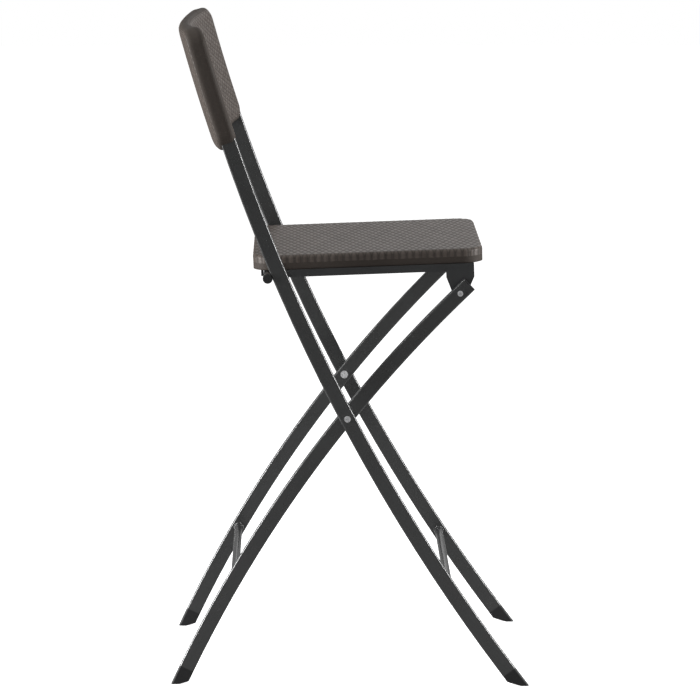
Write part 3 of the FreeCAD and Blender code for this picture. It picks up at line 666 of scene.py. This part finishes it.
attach(make_welds("front_footrest_weld", LEG_RADIUS, LEG_LEAN, LONG_INNER), "long_frame")
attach(make_welds("rear_footrest_weld", REAR_RADIUS, REAR_LEAN, REAR_INNER), "rear_frame")

# floor and sky: white to the camera, and dimmer in the light that they throw on the stool
FLOOR_SIZE = 24.0
FLOOR_GLOW = 0.85
SKY_LIGHT = 0.22
SKY_SHINE = 0.2
bpy.ops.mesh.primitive_plane_add(size=FLOOR_SIZE, location=(0, 0, 0))
floor = bpy.context.object
floor.name = "floor"
floor_paint, floor_tree, floor_shader = new_material("floor_paint")
floor_seen = floor_tree.node("ShaderNodeLightPath").outputs["Is Camera Ray"]
floor_color = floor_tree.mix_color(floor_seen, (0.3, 0.3, 0.3, 1), (0.9, 0.9, 0.9, 1))
floor_tree.put(floor_shader.inputs["Base Color"], floor_color)
floor_shader.inputs["Roughness"].default_value = 1.0
floor_shader.inputs["Specular IOR Level"].default_value = 0.0
floor_shader.inputs["Emission Color"].default_value = (1, 1, 1, 1)
floor_tree.put(floor_shader.inputs["Emission Strength"], floor_tree.mix(floor_seen, 0.0, FLOOR_GLOW))
floor.data.materials.append(floor_paint)

world = bpy.data.worlds.new("studio")
bpy.context.scene.world = world
world.use_nodes = True
world.node_tree.nodes.clear()
sky = Tree(world.node_tree)
rays = sky.node("ShaderNodeLightPath").outputs
level = sky.mix(rays["Is Glossy Ray"], SKY_LIGHT, SKY_SHINE)
level = sky.mix(rays["Is Camera Ray"], level, 1.0)
background = sky.node("ShaderNodeBackground", {"Color": (1, 1, 1, 1), "Strength": level})
sky.node("ShaderNodeOutputWorld", {"Surface": background.outputs[0]})

# name, place, what it points at, width and height in metres, and power in watts
LIGHTS = (
    ("overhead", (0.3, 0.0, 3.4), (0, 0, 0.6), (2.6, 2.6), 19),
    ("rear_high", (-0.5, 3.0, 3.0), (0, 0, 0.7), (0.3, 1.2), 20),
    ("far_side", (2.6, -0.6, 2.2), (0, 0, 0.6), (2.0, 2.4), 13),
    ("near_side", (-3.0, 0.4, 1.2), (0, 0, 0.6), (1.6, 2.0), 5.5),
    ("front", (-0.4, -3.4, 1.3), (0, 0, 0.6), (0.5, 2.4), 130),
    ("rear", (-0.7, 3.4, 0.8), (0, 0.3, 0.9), (0.6, 2.2), 190),
)
for name, place, target, across, power in LIGHTS:
    lamp = bpy.data.lights.new(name, "AREA")
    lamp.shape = "RECTANGLE"
    lamp.size, lamp.size_y = across
    lamp.energy = power
    item = bpy.data.objects.new(name, lamp)
    bpy.context.scene.collection.objects.link(item)
    item.location = place
    item.rotation_euler = (Vector(target) - Vector(place)).to_track_quat("-Z", "Y").to_euler()
    item.visible_glossy = name != "near_side"

# the photo's camera, from a fit to the outlines: metres, radians and, for the lens, millimetres
CAMERA_PLACE = (-5.9887, 0.08331, 1.6001)
CAMERA_YAW = -0.014451
CAMERA_PITCH = 0.175057
CAMERA_LENS = 180.44
SENSOR = 36.0
FAR = 60.0
PICTURE = 700
camera_data = bpy.data.cameras.new("camera")
camera = bpy.data.objects.new("camera", camera_data)
bpy.context.scene.collection.objects.link(camera)
camera_data.sensor_width = SENSOR
camera_data.lens = CAMERA_LENS
camera.location = CAMERA_PLACE
camera.rotation_euler = (math.pi / 2 - CAMERA_PITCH, 0.0, CAMERA_YAW - math.pi / 2)
camera_data.clip_end = FAR
bpy.context.scene.camera = camera

scene = bpy.context.scene
scene.render.resolution_x = PICTURE
scene.render.resolution_y = PICTURE
scene.view_settings.view_transform = "Standard"
